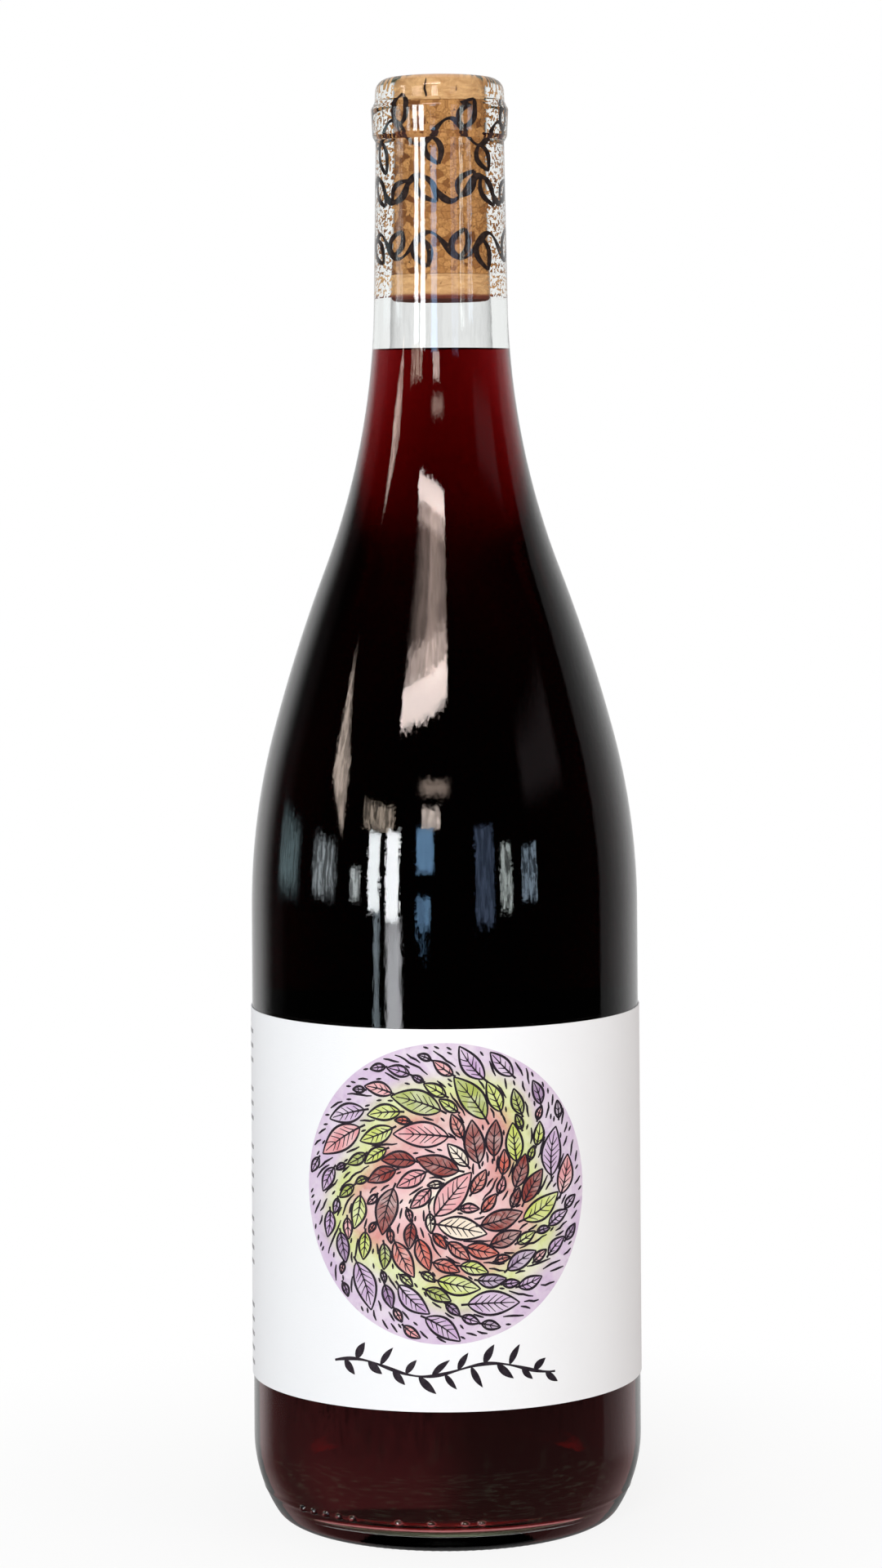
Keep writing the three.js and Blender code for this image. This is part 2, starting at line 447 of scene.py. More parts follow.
def thickened(bm: Mesh, thickness: float) -> None:
    """Give flat work a thickness, so that it is closed, with its faces pointing out."""
    for face in bm.faces:
        if face.normal.z < 0:
            face.normal_flip()
    bmesh.ops.solidify(bm, geom=bm.faces[:], thickness=thickness)
    lowest = min(vert.co.z for vert in bm.verts)
    for vert in bm.verts:
        vert.co.z -= lowest
    bmesh.ops.recalc_face_normals(bm, faces=bm.faces)


def stored(bm: Mesh, name: str) -> bpy.types.Mesh:
    """Keep a mesh under a name, and free its working copy."""
    mesh = bpy.data.meshes.new(name)
    bm.to_mesh(mesh)
    bm.free()
    return mesh


def linked(name: str, data: Any) -> bpy.types.Object:
    """A new object in the scene."""
    made = bpy.data.objects.new(name, data)
    bpy.context.scene.collection.objects.link(made)
    return made


def finished(bm: Mesh, name: str, finish: bpy.types.Material,
             nodes: Sequence[str] = ()) -> bpy.types.Object:
    """Make a mesh a piece of the part.

    Args:
        bm: The mesh, in place and in metres. It is freed.
        name: The piece's name.
        finish: Its material.
        nodes: CAD nodes that it stands for.

    Returns:
        The piece.
    """
    for face in bm.faces:
        face.smooth = True
    for edge in bm.edges:
        edge.smooth = edge.calc_face_angle(0.0) < CREASE
    piece = linked(name, stored(bm, name))
    piece.data.materials.append(finish)
    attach(piece, BODY)
    if nodes:
        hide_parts(*nodes)
    return piece


class Recipe:
    """A node tree under construction, with short calls to add nodes and join them."""

    def __init__(self, owner: bpy.types.Material | bpy.types.World) -> None:
        """Start from an empty tree."""
        owner.use_nodes = True
        self.tree = owner.node_tree
        self.tree.nodes.clear()

    def fill(self, made: bpy.types.Node, key: str | int, value: Any) -> None:
        """Give an input a value, or a link where the value is a socket."""
        if isinstance(value, Socket):
            self.tree.links.new(value, made.inputs[key])
        else:
            made.inputs[key].default_value = value

    def node(self, kind: str, inputs: dict[str | int, Any] | None = None,
             **settings: Any) -> bpy.types.Node:
        """Add a node.

        Args:
            kind: The node's type without its ShaderNode prefix.
            inputs: Values or sockets for its inputs, by name or number.
            settings: Its properties.

        Returns:
            The node.
        """
        made = self.tree.nodes.new("ShaderNode" + kind)
        for key, value in settings.items():
            setattr(made, key, value)
        for key, value in (inputs or {}).items():
            self.fill(made, key, value)
        return made

    def math(self, operation: str, *values: Any) -> Socket:
        """Add a Math node and return its result."""
        return self.node("Math", dict(enumerate(values)), operation=operation).outputs[0]

    def times(self, first: Any, second: Any) -> Socket:
        """Multiply two values."""
        return self.math("MULTIPLY", first, second)

    def ease(self, value: Any, low: float, high: float, start: float = 0.0,
             end: float = 1.0) -> Socket:
        """Ease a value from start at low to end at high."""
        return self.node("MapRange", {
            "Value": value, "From Min": low, "From Max": high, "To Min": start, "To Max": end,
        }, interpolation_type="SMOOTHSTEP").outputs["Result"]

    def blend(self, share: Any, first: Any, second: Any, kind: str = "MIX") -> Socket:
        """Mix two colours."""
        made = self.node("Mix", {"Factor": share}, data_type="RGBA", blend_type=kind)
        self.fill(made, 6, first)
        self.fill(made, 7, second)
        return made.outputs[2]

    def ramp(self, value: Socket, stops: Sequence[tuple[float, Color]]) -> Socket:
        """Turn a value into colours by their stops."""
        made = self.node("ValToRGB", {"Fac": value})
        elements = made.color_ramp.elements
        while len(elements) < len(stops):
            elements.new(1.0)
        for element, (position, color) in zip(elements, stops):
            element.position = position
            element.color = color
        return made.outputs["Color"]

    def place(self) -> Socket:
        """The place on the piece, in metres."""
        return self.node("TexCoord").outputs["Object"]

    def axis(self, vector: Socket, name: str) -> Socket:
        """One part of a vector: X, Y or Z."""
        return self.node("SeparateXYZ", {"Vector": vector}).outputs[name]

    def stretched(self, vector: Socket, scale: Triple) -> Socket:
        """A vector scaled by axis."""
        return self.node("Mapping", {"Vector": vector, "Scale": scale}).outputs["Vector"]

    def noise(self, vector: Socket, scale: float, detail: float = 3.0, roughness: float = 0.5,
              distortion: float = 0.0) -> Socket:
        """The value of a noise texture."""
        return self.node("TexNoise", {
            "Vector": vector, "Scale": scale, "Detail": detail, "Roughness": roughness,
            "Distortion": distortion,
        }).outputs["Fac"]

    def bump(self, height: Socket, distance: float) -> Socket:
        """A normal bent by a height."""
        return self.node("Bump", {
            "Height": height, "Distance": distance, "Strength": 1.0,
        }).outputs["Normal"]

    def show(self, surface: bpy.types.Node, volume: bpy.types.Node | None = None) -> None:
        """Send a shader, and a volume if there is one, to the output."""
        output = self.node("OutputMaterial", {"Surface": surface.outputs[0]})
        if volume is not None:
            self.tree.links.new(volume.outputs[0], output.inputs["Volume"])

    def coat(self, color: Socket, roughness: float, gloss: float,
             normal: Socket | None = None) -> None:
        """Show a matt surface, with a bent normal if it has relief."""
        relief = {} if normal is None else {"Normal": normal}
        self.show(self.node("BsdfPrincipled", {
            "Base Color": color, "Roughness": roughness, "Specular IOR Level": gloss, **relief,
        }))


@dataclass(frozen=True)
class Finish:
    """A procedural material. Each kind of finish paints its own nodes."""

    name: str

    def make(self) -> bpy.types.Material:
        """Build the material."""
        material = bpy.data.materials.new(self.name)
        self.paint(Recipe(material))
        return material

    def paint(self, recipe: Recipe) -> None:
        """Add the finish's nodes."""
        raise NotImplementedError


@dataclass(frozen=True)
class ClearBody(Finish):
    """A clear body that bends light and takes colour from it over its depth.

    Light on its way to a matt surface goes straight through it, so that what it holds is lit.
    """

    ior: float
    depth_color: Color
    density: float
    mirror: Color = (1.0, 1.0, 1.0, 1.0)
    ripple: float = 0.0
    ripple_scale: float = 1500.0

    def paint(self, recipe: Recipe) -> None:
        """Refraction with a faint ripple, and absorption."""
        inputs = {
            "Base Color": grey(1.0), "Roughness": 0.0, "IOR": self.ior,
            "Transmission Weight": 1.0, "Specular Tint": self.mirror,
        }
        if self.ripple:
            place = recipe.stretched(recipe.place(), (1.0, 1.0, 0.25))
            height = recipe.noise(place, self.ripple_scale, 2.0, 0.4)
            inputs["Normal"] = recipe.bump(height, self.ripple)
        body = recipe.node("BsdfPrincipled", inputs)
        straight = recipe.node("BsdfTransparent", {"Color": grey(1.0)})
        path = recipe.node("LightPath").outputs
        lamp = recipe.math("MAXIMUM", path["Is Shadow Ray"], path["Is Diffuse Ray"])
        surface = recipe.node("MixShader", {0: lamp, 1: body.outputs[0], 2: straight.outputs[0]})
        depth = recipe.node("VolumeAbsorption", {
            "Color": self.depth_color, "Density": self.density,
        })
        recipe.show(surface, depth)


@dataclass(frozen=True)
class PressedCork(Finish):
    """Cork of pressed grains, with dark specks between them."""

    light: Color = (0.60, 0.30, 0.105, 1.0)
    middle: Color = (0.40, 0.175, 0.055, 1.0)
    dark: Color = (0.17, 0.06, 0.019, 1.0)
    speck: Color = (0.06, 0.026, 0.012, 1.0)
    grain_scale: float = 620.0

    def paint(self, recipe: Recipe) -> None:
        """Bent cells in three tones, mottled, with dark seams and specks."""
        place = recipe.place()
        swirl = recipe.node("TexNoise", {"Vector": place, "Scale": 700.0}).outputs["Color"]
        bent = recipe.blend(0.0015, place, swirl, "ADD")
        grain = {"Vector": bent, "Scale": self.grain_scale}
        cells = recipe.node("TexVoronoi", grain).outputs["Color"]
        edge = recipe.node("TexVoronoi", grain, feature="DISTANCE_TO_EDGE").outputs["Distance"]
        shade = recipe.ramp(recipe.axis(cells, "X"), (
            (0.0, self.dark), (0.22, self.middle), (0.6, self.light), (1.0, self.light)))
        fine = recipe.noise(place, 2600.0, 4.0, 0.65)
        mottled = recipe.blend(recipe.ease(fine, 0.35, 0.75, 0.0, 0.55), shade, self.dark)
        seams = recipe.ease(edge, 0.0, 0.11, 0.45, 0.0)
        seamed = recipe.blend(seams, mottled, self.dark)
        specks = recipe.ease(recipe.noise(place, 1500.0, 2.0), 0.66, 0.74)
        relief = recipe.bump(recipe.math("SUBTRACT", fine, seams), 0.00015)
        recipe.coat(recipe.blend(specks, seamed, self.speck), 0.7, 0.15, relief)


@dataclass(frozen=True)
class NaturalCork(Finish):
    """Smooth slices of natural cork, stained by wine below and darker and redder in a band at the
    top.
    """

    light: Color = (0.72, 0.43, 0.2, 1.0)
    dark: Color = (0.47, 0.24, 0.1, 1.0)
    pore: Color = (0.12, 0.045, 0.018, 1.0)
    stain: Color = (0.15, 0.018, 0.018, 1.0)
    edge: Color = (0.42, 0.15, 0.09, 1.0)
    stain_span: Flat = (251.3, 252.0)
    stain_wander: float = 0.8
    edge_span: Flat = (294.3, 295.0)

    def paint(self, recipe: Recipe) -> None:
        """Streaks and pores, with the stain below and the darker, redder band at the top."""
        place = recipe.place()
        height = recipe.axis(place, "Z")
        streaks = recipe.noise(recipe.stretched(place, (1.0, 1.0, 3.0)), 420.0, 4.0, 0.6, 0.6)
        base = recipe.blend(recipe.ease(streaks, 0.3, 0.75), self.light, self.dark)
        pores = recipe.noise(recipe.stretched(place, (1.0, 1.0, 0.4)), 900.0, 2.0)
        pored = recipe.blend(recipe.ease(pores, 0.67, 0.74, 0.0, 0.8), base, self.pore)
        wander = recipe.times(recipe.noise(place, 350.0), self.stain_wander * MM)
        wet = recipe.ease(recipe.math("SUBTRACT", height, wander),
                          self.stain_span[0] * MM, self.stain_span[1] * MM, 0.9, 0.0)
        rim = recipe.ease(height, self.edge_span[0] * MM, self.edge_span[1] * MM, 0.0, 0.75)
        color = recipe.blend(rim, recipe.blend(wet, pored, self.stain), self.edge)
        recipe.coat(color, 0.6, 0.15, recipe.bump(streaks, 0.0001))


@dataclass(frozen=True)
class UncoatedPaper(Finish):
    """White uncoated paper with a faint fibre."""

    color: Color = (0.87, 0.885, 0.90, 1.0)
    shade: Color = (0.845, 0.86, 0.88, 1.0)

    def paint(self, recipe: Recipe) -> None:
        """Faint clouds on the paper."""
        cloud = recipe.ease(recipe.noise(recipe.place(), 90.0), 0.3, 0.7, 0.0, 0.25)
        self.lay(recipe, recipe.blend(cloud, self.color, self.shade))

    @staticmethod
    def lay(recipe: Recipe, color: Socket) -> None:
        """Show a colour on the paper's fibre."""
        fibre = recipe.noise(recipe.place(), 3200.0, 3.0, 0.7)
        recipe.coat(color, 0.62, 0.35, recipe.bump(fibre, 0.00003))


@dataclass(frozen=True)
class Ink(Finish):
    """Matt printed or brushed ink, a little uneven."""

    color: Color
    thin: Color

    def paint(self, recipe: Recipe) -> None:
        """Two tones of ink."""
        uneven = recipe.noise(recipe.place(), 1100.0, 3.0, 0.6)
        recipe.coat(recipe.blend(recipe.ease(uneven, 0.35, 0.8), self.color, self.thin),
                    0.6, 0.15)


@dataclass(frozen=True)
class Watercolour(Finish):
    """Transparent colour laid on paper, pooled and thinned; reads the colour of each field."""

    attribute: str = "wash"
    paper: Color = (0.88, 0.87, 0.85, 1.0)

    def paint(self, recipe: Recipe) -> None:
        """Each field's own colour, thinned in clouds and deepened in pools."""
        place = recipe.place()
        field_color = recipe.node("Attribute", attribute_name=self.attribute).outputs["Color"]
        cloud = recipe.noise(place, 190.0, 4.0, 0.6, 0.8)
        thin = recipe.blend(recipe.ease(cloud, 0.35, 0.75, 0.0, 0.45), field_color, self.paper)
        pool = recipe.ease(recipe.noise(place, 420.0, 3.0, 0.6, 0.4), 0.5, 0.8, 0.0, 0.55)
        UncoatedPaper.lay(recipe, recipe.blend(pool, thin, field_color, "MULTIPLY"))


@dataclass
class Glass:
    """The bottle itself: one wall from the hollow base round the mouth to the floor inside."""

    shape: BottleShape
    finish: ClearBody
    segments: int = 256
    bead_radius: float = 0.8
    bead_bulge: float = 0.6
    bead_height: float = 6.85
    bead_pitch: float = 5.0
    bead_places: tuple[int, ...] = (-10, -9, -8, -7, -6, -3, -1, 1, 2)
    bead_cuts: int = 5
    heel_beyond: float = 34.0
    knurl_depth: float = 0.3
    knurl_span: Flat = (-1.6, 1.4)
    ripple: float = 0.12
    ripple_ends: float = 8.0

    def build(self) -> bpy.types.Object:
        """Turn the wall, shape its foot and dress it."""
        shape = self.shape
        outline = shape.punt() + shape.outer() + shape.mouth() + shape.cavity()[::-1][1:]
        bm = spun(outline, self.segments)
        self.knurl_foot(bm)
        self.ripple_inside(bm)
        self.raise_beads(bm)
        return finished(bm, "clear_glass_bottle", self.finish.make(), ["bottle"])

    def knurl_foot(self, bm: Mesh) -> None:
        """Notch the ring that the bottle stands on at every other vertex."""
        low, high = (self.shape.foot_radius + edge for edge in self.knurl_span)
        for vert in bm.verts:
            turn = math.atan2(vert.co.y, vert.co.x) / math.tau * self.segments
            if vert.co.z <= 1.0 * MM and low < off_axis(vert.co) < high and round(turn) % 2:
                vert.co.z += self.knurl_depth * MM

    def ripple_inside(self, bm: Mesh) -> None:
        """Make the wall a little uneven from the inside, as blown glass is, below the cork."""
        outer = Rise(self.shape.outer())
        low, top = self.shape.heel_height, self.shape.cork_bottom - 2.0
        for vert in bm.verts:
            height, radius = vert.co.z / MM, off_axis(vert.co)
            if not low < height < top or not 5.0 <= radius <= outer.radius(height) - 1.2:
                continue
            share = smooth_step(top, top - self.ripple_ends, height) * smooth_step(
                low, low + self.ripple_ends, height)
            wave = noise.noise(Vector((vert.co.x * 120.0, vert.co.y * 120.0, vert.co.z * 22.0)))
            vert.co.xy *= 1.0 + wave * self.ripple * share / radius

    def raise_beads(self, bm: Mesh) -> None:
        """Raise the row of small round beads low on the heel."""
        heel = Rise(self.shape.heel())
        reach = self.bead_radius * 1.8 * MM
        around = heel.radius(self.bead_height)
        centres = [on_turn(around, math.radians(place * self.bead_pitch), self.bead_height)
                   for place in self.bead_places]

        def near(place: Vector, band: float) -> float:
            """How far the nearest bead is, or infinity off the heel's band."""
            if (abs(place.z / MM - self.bead_height) >= band
                    or off_axis(place) <= self.heel_beyond):
                return math.inf
            return min((place - centre).length for centre in centres)

        edges = {edge for face in bm.faces if near(face.calc_center_median(), 3.0) < reach
                 for edge in face.edges}
        bmesh.ops.subdivide_edges(bm, edges=list(edges), cuts=self.bead_cuts, use_grid_fill=True)
        for vert in bm.verts:
            distance = near(vert.co, 2.0)
            if distance > reach * 1.3:
                continue
            true = heel.radius(vert.co.z / MM) * MM
            vert.co.xy *= true / math.hypot(*vert.co.xy)
            share = distance / (self.bead_radius * MM)
            if share < 1.0:
                out = Vector((vert.co.x, vert.co.y, -0.35 * true)).normalized()
                vert.co += out * self.bead_bulge * MM * math.sqrt(1.0 - share * share)


@dataclass
class Wine:
    """The wine up to its level, reaching just into the wall, with its meniscus."""

    shape: BottleShape
    finish: ClearBody
    segments: int = 256
    into_wall: float = 0.3
    climb: float = 0.35
    climb_length: float = 1.2
    climb_reach: float = 6.0
    climb_steps: int = 24

    def build(self) -> bpy.types.Object:
        """Turn the wine and dress it."""
        level = self.shape.fill_level
        cavity = self.shape.cavity()
        top = level + self.climb
        outline = [spot for spot in inset(cavity, lambda height: -self.into_wall)
                   if spot.height < top - 0.3]
        outline[0] = Spot(0.0, outline[0].height, -90)
        wall = Rise(cavity).radius(top)
        outline.append(Spot(wall + self.into_wall, top))
        for index in range(self.climb_steps + 1):
            depth = self.climb_reach * (index / self.climb_steps) ** 2
            rise = self.climb * math.exp(-depth / self.climb_length)
            outline.append(Spot(wall - depth, level + rise))
        bm = spun([*outline, Spot(0.0, level)], self.segments)
        return finished(bm, "red_wine_fill", self.finish.make(), ["wine"])


@dataclass(frozen=True)
class Leaf:
    """A flat leaf, in millimetres: its root, direction, length and greatest width."""

    root: Flat
    direction: float
    length: float
    width: float
    curl: float = 0.0

    def bend(self, along: float) -> float:
        """How far the midrib lies to the side at a share of the leaf's length."""
        return self.curl * self.length * (along - along * along)

    def half_width(self, along: float) -> float:
        """Half of the leaf's width at a share of its length."""
        return 0.5 * self.width * (math.sin(math.pi * clamp(along) ** 0.85)) ** 0.9

    def at(self, along: float, across: float = 0.0) -> Flat:
        """The flat place for a share along the leaf and a share across it from -1 to 1."""
        x, y = along * self.length, self.half_width(along) * across + self.bend(along)
        c, s = math.cos(self.direction), math.sin(self.direction)
        return self.root[0] + x * c - y * s, self.root[1] + x * s + y * c

    def fill(self, bm: Mesh, columns: int) -> None:
        """Lay the whole leaf."""
        laid(bm, columns, 4, lambda t, side: self.at(t, 2.0 * side - 1.0))

    def covers(self, place: Flat, margin: float) -> bool:
        """Whether the leaf, grown by a margin, lies over a flat place."""
        dx, dy = place[0] - self.root[0], place[1] - self.root[1]
        c, s = math.cos(self.direction), math.sin(self.direction)
        x, y = dx * c + dy * s, dy * c - dx * s
        share, spare = x / self.length, margin / self.length
        return (-spare < share < 1.0 + spare
                and abs(y - self.bend(share)) < self.half_width(share) + margin)


@dataclass
class Cork:
    """The cork: a pressed middle between two smooth discs, with brushed tendrils round it."""

    shape: BottleShape
    pressed: PressedCork
    natural: NaturalCork
    ink: Ink
    segments: int = 256
    disc: float = 5.0
    edge: float = 0.5
    gap: float = 0.05
    row: float = 0.2
    swell: float = 0.09
    patch_scale: float = 1700.0
    patch_edge: Flat = (-0.05, 0.17)
    vine_count: int = 3
    vine_swing: float = 2.6
    vine_waves: int = 5
    leaf_size: Flat = (6.4, 3.0)
    line: float = 1.3
    # Angle round the cork of the crack whose shade is painted as a dark stroke
    crack_shade_at: float = math.radians(-16.0)
    seed: int = 23

    def __post_init__(self) -> None:
        """Read the bore once."""
        self.bore = Rise(self.shape.cavity())

    def radius(self, height: float) -> float:
        """Radius of the squeezed cork at a height."""
        capped = min(height, self.shape.height - self.shape.mouth_round)
        return self.bore.radius(capped) - self.gap

    def press(self, bm: Mesh) -> None:
        """Press the skin against the glass in patches, as a squeezed cork lies."""
        for vert in bm.verts:
            radius = off_axis(vert.co)
            if radius < 5.0:
                continue
            wave = (noise.noise(vert.co * self.patch_scale)
                    + 0.6 * noise.noise(vert.co * self.patch_scale * 2.3))
            vert.co.xy *= 1.0 + self.swell * smooth_step(*self.patch_edge, wave) / radius

    def length(self, bottom: float, top: float, broken: tuple[bool, bool]) -> Mesh:
        """Turn one length of the cork.

        Args:
            bottom: Its lower end.
            top: Its upper end.
            broken: Whether its lower and upper edges are broken.

        Returns:
            The mesh.
        """
        lower, upper = (self.edge if cut else self.gap for cut in broken)
        walk = Walk(0.0, bottom, -90).to(self.radius(bottom) - lower, bottom)
        walk.to(self.radius(bottom), bottom + lower)
        low, high = walk.end.height, top - upper
        count = max(2, math.ceil((high - low) / self.row))
        for index in range(1, count + 1):
            height = mix(low, high, index / count)
            walk.to(self.radius(height), height)
        walk.to(self.radius(top) - upper, top).to(0.0, top)
        bm = spun(walk.spots, self.segments)
        self.press(bm)
        return bm

    def tendrils(self) -> Mesh:
        """Vines with open leaves, brushed round the pressed middle, and a crack above them whose
        inner shade is painted as a dark stroke.
        """
        reference = self.radius(self.shape.bore_midway_height)
        half = math.pi * reference
        low = self.shape.cork_bottom + self.disc
        span = self.shape.cork_length - 2.0 * self.disc
        leaves = 2 * self.vine_waves
        draw = random.Random(self.seed)
        bm = bmesh.new()
        for vine in range(self.vine_count):
            middle = low + span * (vine + 0.5) / self.vine_count
            phase = draw.uniform(0.0, math.tau)

            def wave(t: float, turns: int, phase: float = phase) -> float:
                return math.sin(math.tau * turns * t + phase)

            def stem(t: float, middle: float = middle, wave: Any = wave) -> Flat:
                return mix(-half, half, t), middle + self.vine_swing * wave(t, self.vine_waves)

            stroke(bm, stem, lambda t: self.line * (0.75 + 0.35 * wave(t, leaves)), 220)
            for index in range(leaves):
                root = stem((index + draw.uniform(0.3, 0.7)) / leaves)
                side = 1.0 if index % 2 else -1.0
                leaf = Leaf(root, side * math.radians(draw.uniform(48, 84)),
                            self.leaf_size[0] * draw.uniform(0.8, 1.1), self.leaf_size[1],
                            0.15 * side)
                for across in (-1.0, 1.0):
                    stroke(bm, partial(leaf.at, across=across),
                           swelling(self.line, 0.5, 0.4), 24)
        # Painted shade: the crack is a flat dark stroke in the brown ink, standing in for the
        # shade inside it
        crack, foot = self.crack_shade_at * reference, self.shape.cork_top - 4.4
        stroke(bm, lambda t: (crack + 0.15 * math.sin(7.0 * t), foot + 3.4 * t),
               swelling(1.0, 0.15, 0.3), 12)
        thickened(bm, 0.012)
        Wrap(self.radius, reference).apply(bm, self.swell + 0.006)
        return bm

    def build(self) -> list[bpy.types.Object]:
        """Turn the three lengths, draw the tendrils and dress them all."""
        bottom, top = self.shape.cork_bottom, self.shape.cork_top
        natural = self.natural.make()
        return [
            finished(self.tendrils(), "cork_tendrils_and_crack_shade", self.ink.make()),
            finished(self.length(bottom, bottom + self.disc, (True, False)),
                     "cork_bottom_slice", natural, ["cork_bottom_disc"]),
            finished(self.length(bottom + self.disc + self.gap, top - self.disc - self.gap,
                                 (False, False)),
                     "cork_middle", self.pressed.make(), ["cork"]),
            finished(self.length(top - self.disc, top, (False, True)),
                     "cork_top_slice", natural, ["cork_top_disc"]),
        ]


class Palette(Enum):
    """Colours of the picture's leaves."""

    CREAM = (0.87, 0.76, 0.62, 1.0)
    PINK = (0.76, 0.36, 0.38, 1.0)
    CORAL = (0.60, 0.13, 0.09, 1.0)
    BRICK = (0.27, 0.045, 0.035, 1.0)
    LIME = (0.58, 0.66, 0.14, 1.0)
    OLIVE = (0.40, 0.47, 0.10, 1.0)
    LILAC = (0.58, 0.41, 0.63, 1.0)
    VIOLET = (0.35, 0.22, 0.40, 1.0)


# Colours of the leaves out to a share of the radius, and of the ground at a share of it
LEAF_RINGS = (
    (0.22, (Palette.CREAM, Palette.PINK)),
    (0.42, (Palette.CORAL, Palette.PINK, Palette.BRICK)),
    (0.55, (Palette.BRICK, Palette.CORAL)),
    (0.74, (Palette.LIME, Palette.OLIVE, Palette.LIME)),
    (math.inf, (Palette.LILAC, Palette.VIOLET, Palette.LILAC, Palette.PINK)),
)
GROUND_STOPS = (
    (0.0, Palette.CREAM), (0.3, Palette.PINK), (0.5, Palette.CORAL),
    (0.68, Palette.LIME), (0.86, Palette.LILAC), (1.2, Palette.LILAC),
)


@dataclass
class Picture:
    """A round picture of a swirl of leaves, drawn in ink over watercolour."""

    wrap: Wrap
    wash: Watercolour
    ink: Ink
    lift: float
    centre: Flat = (-0.15, 73.9)
    radius: float = 30.1
    count: int = 150
    spacing: float = 2.42
    leaf_length: float = 10.0
    shortest: float = 2.4
    leaf_share: float = 0.45
    clearance: float = 0.3
    swirl: float = 52.0
    wisp_tries: int = 2200
    wisp_step: float = 1.1
    wisp_room: float = 0.85
    line: float = 0.41
    ground_light: float = 0.86
    ground_thin: float = 0.22
    seed: int = 11
    leaves: list[Leaf] = field(default_factory=list)

    def scatter(self) -> None:
        """Spread the leaves over the disc on a spiral, each as long as the room allows."""
        draw = random.Random(self.seed)
        golden = math.pi * (3.0 - math.sqrt(5.0))
        for index in range(self.count):
            angle = golden * index
            middle = polar(self.centre, self.spacing * math.sqrt(index + 0.4), angle)
            direction = angle + math.radians(self.swirl + draw.uniform(-22, 22))
            curl = draw.uniform(-0.22, 0.22)
            length = self.leaf_length * draw.uniform(0.85, 1.15)
            while length > self.shortest:
                leaf = Leaf(polar(middle, -0.5 * length, direction), direction, length,
                            length * self.leaf_share, curl)
                if self.fits(leaf):
                    self.leaves.append(leaf)
                    break
                length *= 0.94

    def fits(self, leaf: Leaf) -> bool:
        """Whether a leaf lies inside the disc and clear of the leaves before it."""
        rim = [leaf.at(step / 12, side) for step in range(13) for side in (-1.0, 0.0, 1.0)]
        if any(math.dist(place, self.centre) > self.radius - 0.5 for place in rim):
            return False
        near = [other for other in self.leaves if math.dist(leaf.at(0.5), other.at(0.5))
                < 0.55 * (leaf.length + other.length)]
        return not any(other.covers(place, self.clearance) for other in near for place in rim)

    def color_of(self, leaf: Leaf, draw: random.Random) -> Color:
        """The colour of a leaf: warm in the middle, then green, then lilac at the rim."""
        share = math.dist(leaf.at(0.5), self.centre) / self.radius + draw.uniform(-0.09, 0.09)
        choice = next(choice for limit, choice in LEAF_RINGS if share < limit)
        return draw.choice(choice).value

    def ground(self, place: Vector) -> Color:
        """The pale colour under the leaves, in wavy rings."""
        angle = math.atan2(place.y - self.centre[1], place.x - self.centre[0])
        share = (math.dist(place.xy, self.centre) / self.radius
                 + (0.06 * math.sin(3.0 * angle + 0.8) + 0.04 * math.sin(5.0 * angle)))
        (low, first), (high, second) = next(
            pair for pair in zip(GROUND_STOPS, GROUND_STOPS[1:]) if share <= pair[1][0])
        t = smooth_step(low, high, share)
        return tuple(mix(mix(a, b, t), self.ground_light, self.ground_thin)
                     for a, b in zip(first.value[:3], second.value[:3])) + (1.0,)

    def fields(self) -> Mesh:
        """The colour fields: a pale disc under the leaves, and the leaves."""
        draw = random.Random(self.seed + 1)
        bm = bmesh.new()
        layer = bm.verts.layers.float_color.new(self.wash.attribute)
        for vert in laid(bm, 144, 24, lambda turn, out: polar(
                self.centre, self.radius * out, math.tau * turn)):
            vert[layer] = self.ground(vert.co)
        bmesh.ops.remove_doubles(bm, verts=bm.verts, dist=1e-3)
        thickened(bm, INK_THICKNESS)
        for leaf in self.leaves:
            color = self.color_of(leaf, draw)
            top = bmesh.new()
            top_layer = top.verts.layers.float_color.new(self.wash.attribute)
            leaf.fill(top, 12)
            bmesh.ops.remove_doubles(top, verts=top.verts, dist=FLAT_MERGE_DISTANCE)
            thickened(top, INK_THICKNESS)
            for vert in top.verts:
                vert[top_layer] = color
                vert.co.z += INK_THICKNESS
            merge_into(bm, top)
        return bm

    def lines(self) -> Mesh:
        """The ink: each leaf's edge, midrib and veins, and wisps in the gaps."""
        draw = random.Random(self.seed + 2)
        bm = bmesh.new()
        for leaf in self.leaves:
            for side in (-1.0, 1.0):
                stroke(bm, partial(leaf.at, across=side), swelling(self.line, 0.75, 0.5), 14)
            stroke(bm, lambda t: leaf.at(-0.12 + 1.02 * t),
                   lambda t: self.line * (1.15 - 0.7 * t), 10)
            veins = max(2, round(leaf.length / 2.1))
            for index in range(veins):
                start = 0.12 + 0.62 * index / veins
                for side in (-1.0, 1.0):
                    sweep, reach = draw.uniform(0.14, 0.2), draw.uniform(0.62, 0.86)
                    stroke(bm, lambda t: leaf.at(start + sweep * t, side * reach * t),
                           lambda t: self.line * (0.62 - 0.3 * t), 4)
        self.wisps(bm, draw)
        thickened(bm, INK_THICKNESS)
        return bm

    def is_free(self, place: Flat, taken: Sequence[Flat]) -> bool:
        """Whether a place lies on the disc, off every leaf and away from the places taken."""
        return not (
            math.dist(place, self.centre) > self.radius - 0.4
            or any(math.dist(place, other) < self.wisp_room for other in taken)
            or any(math.dist(place, leaf.at(0.5)) < 0.6 * leaf.length
                   and leaf.covers(place, self.clearance) for leaf in self.leaves))

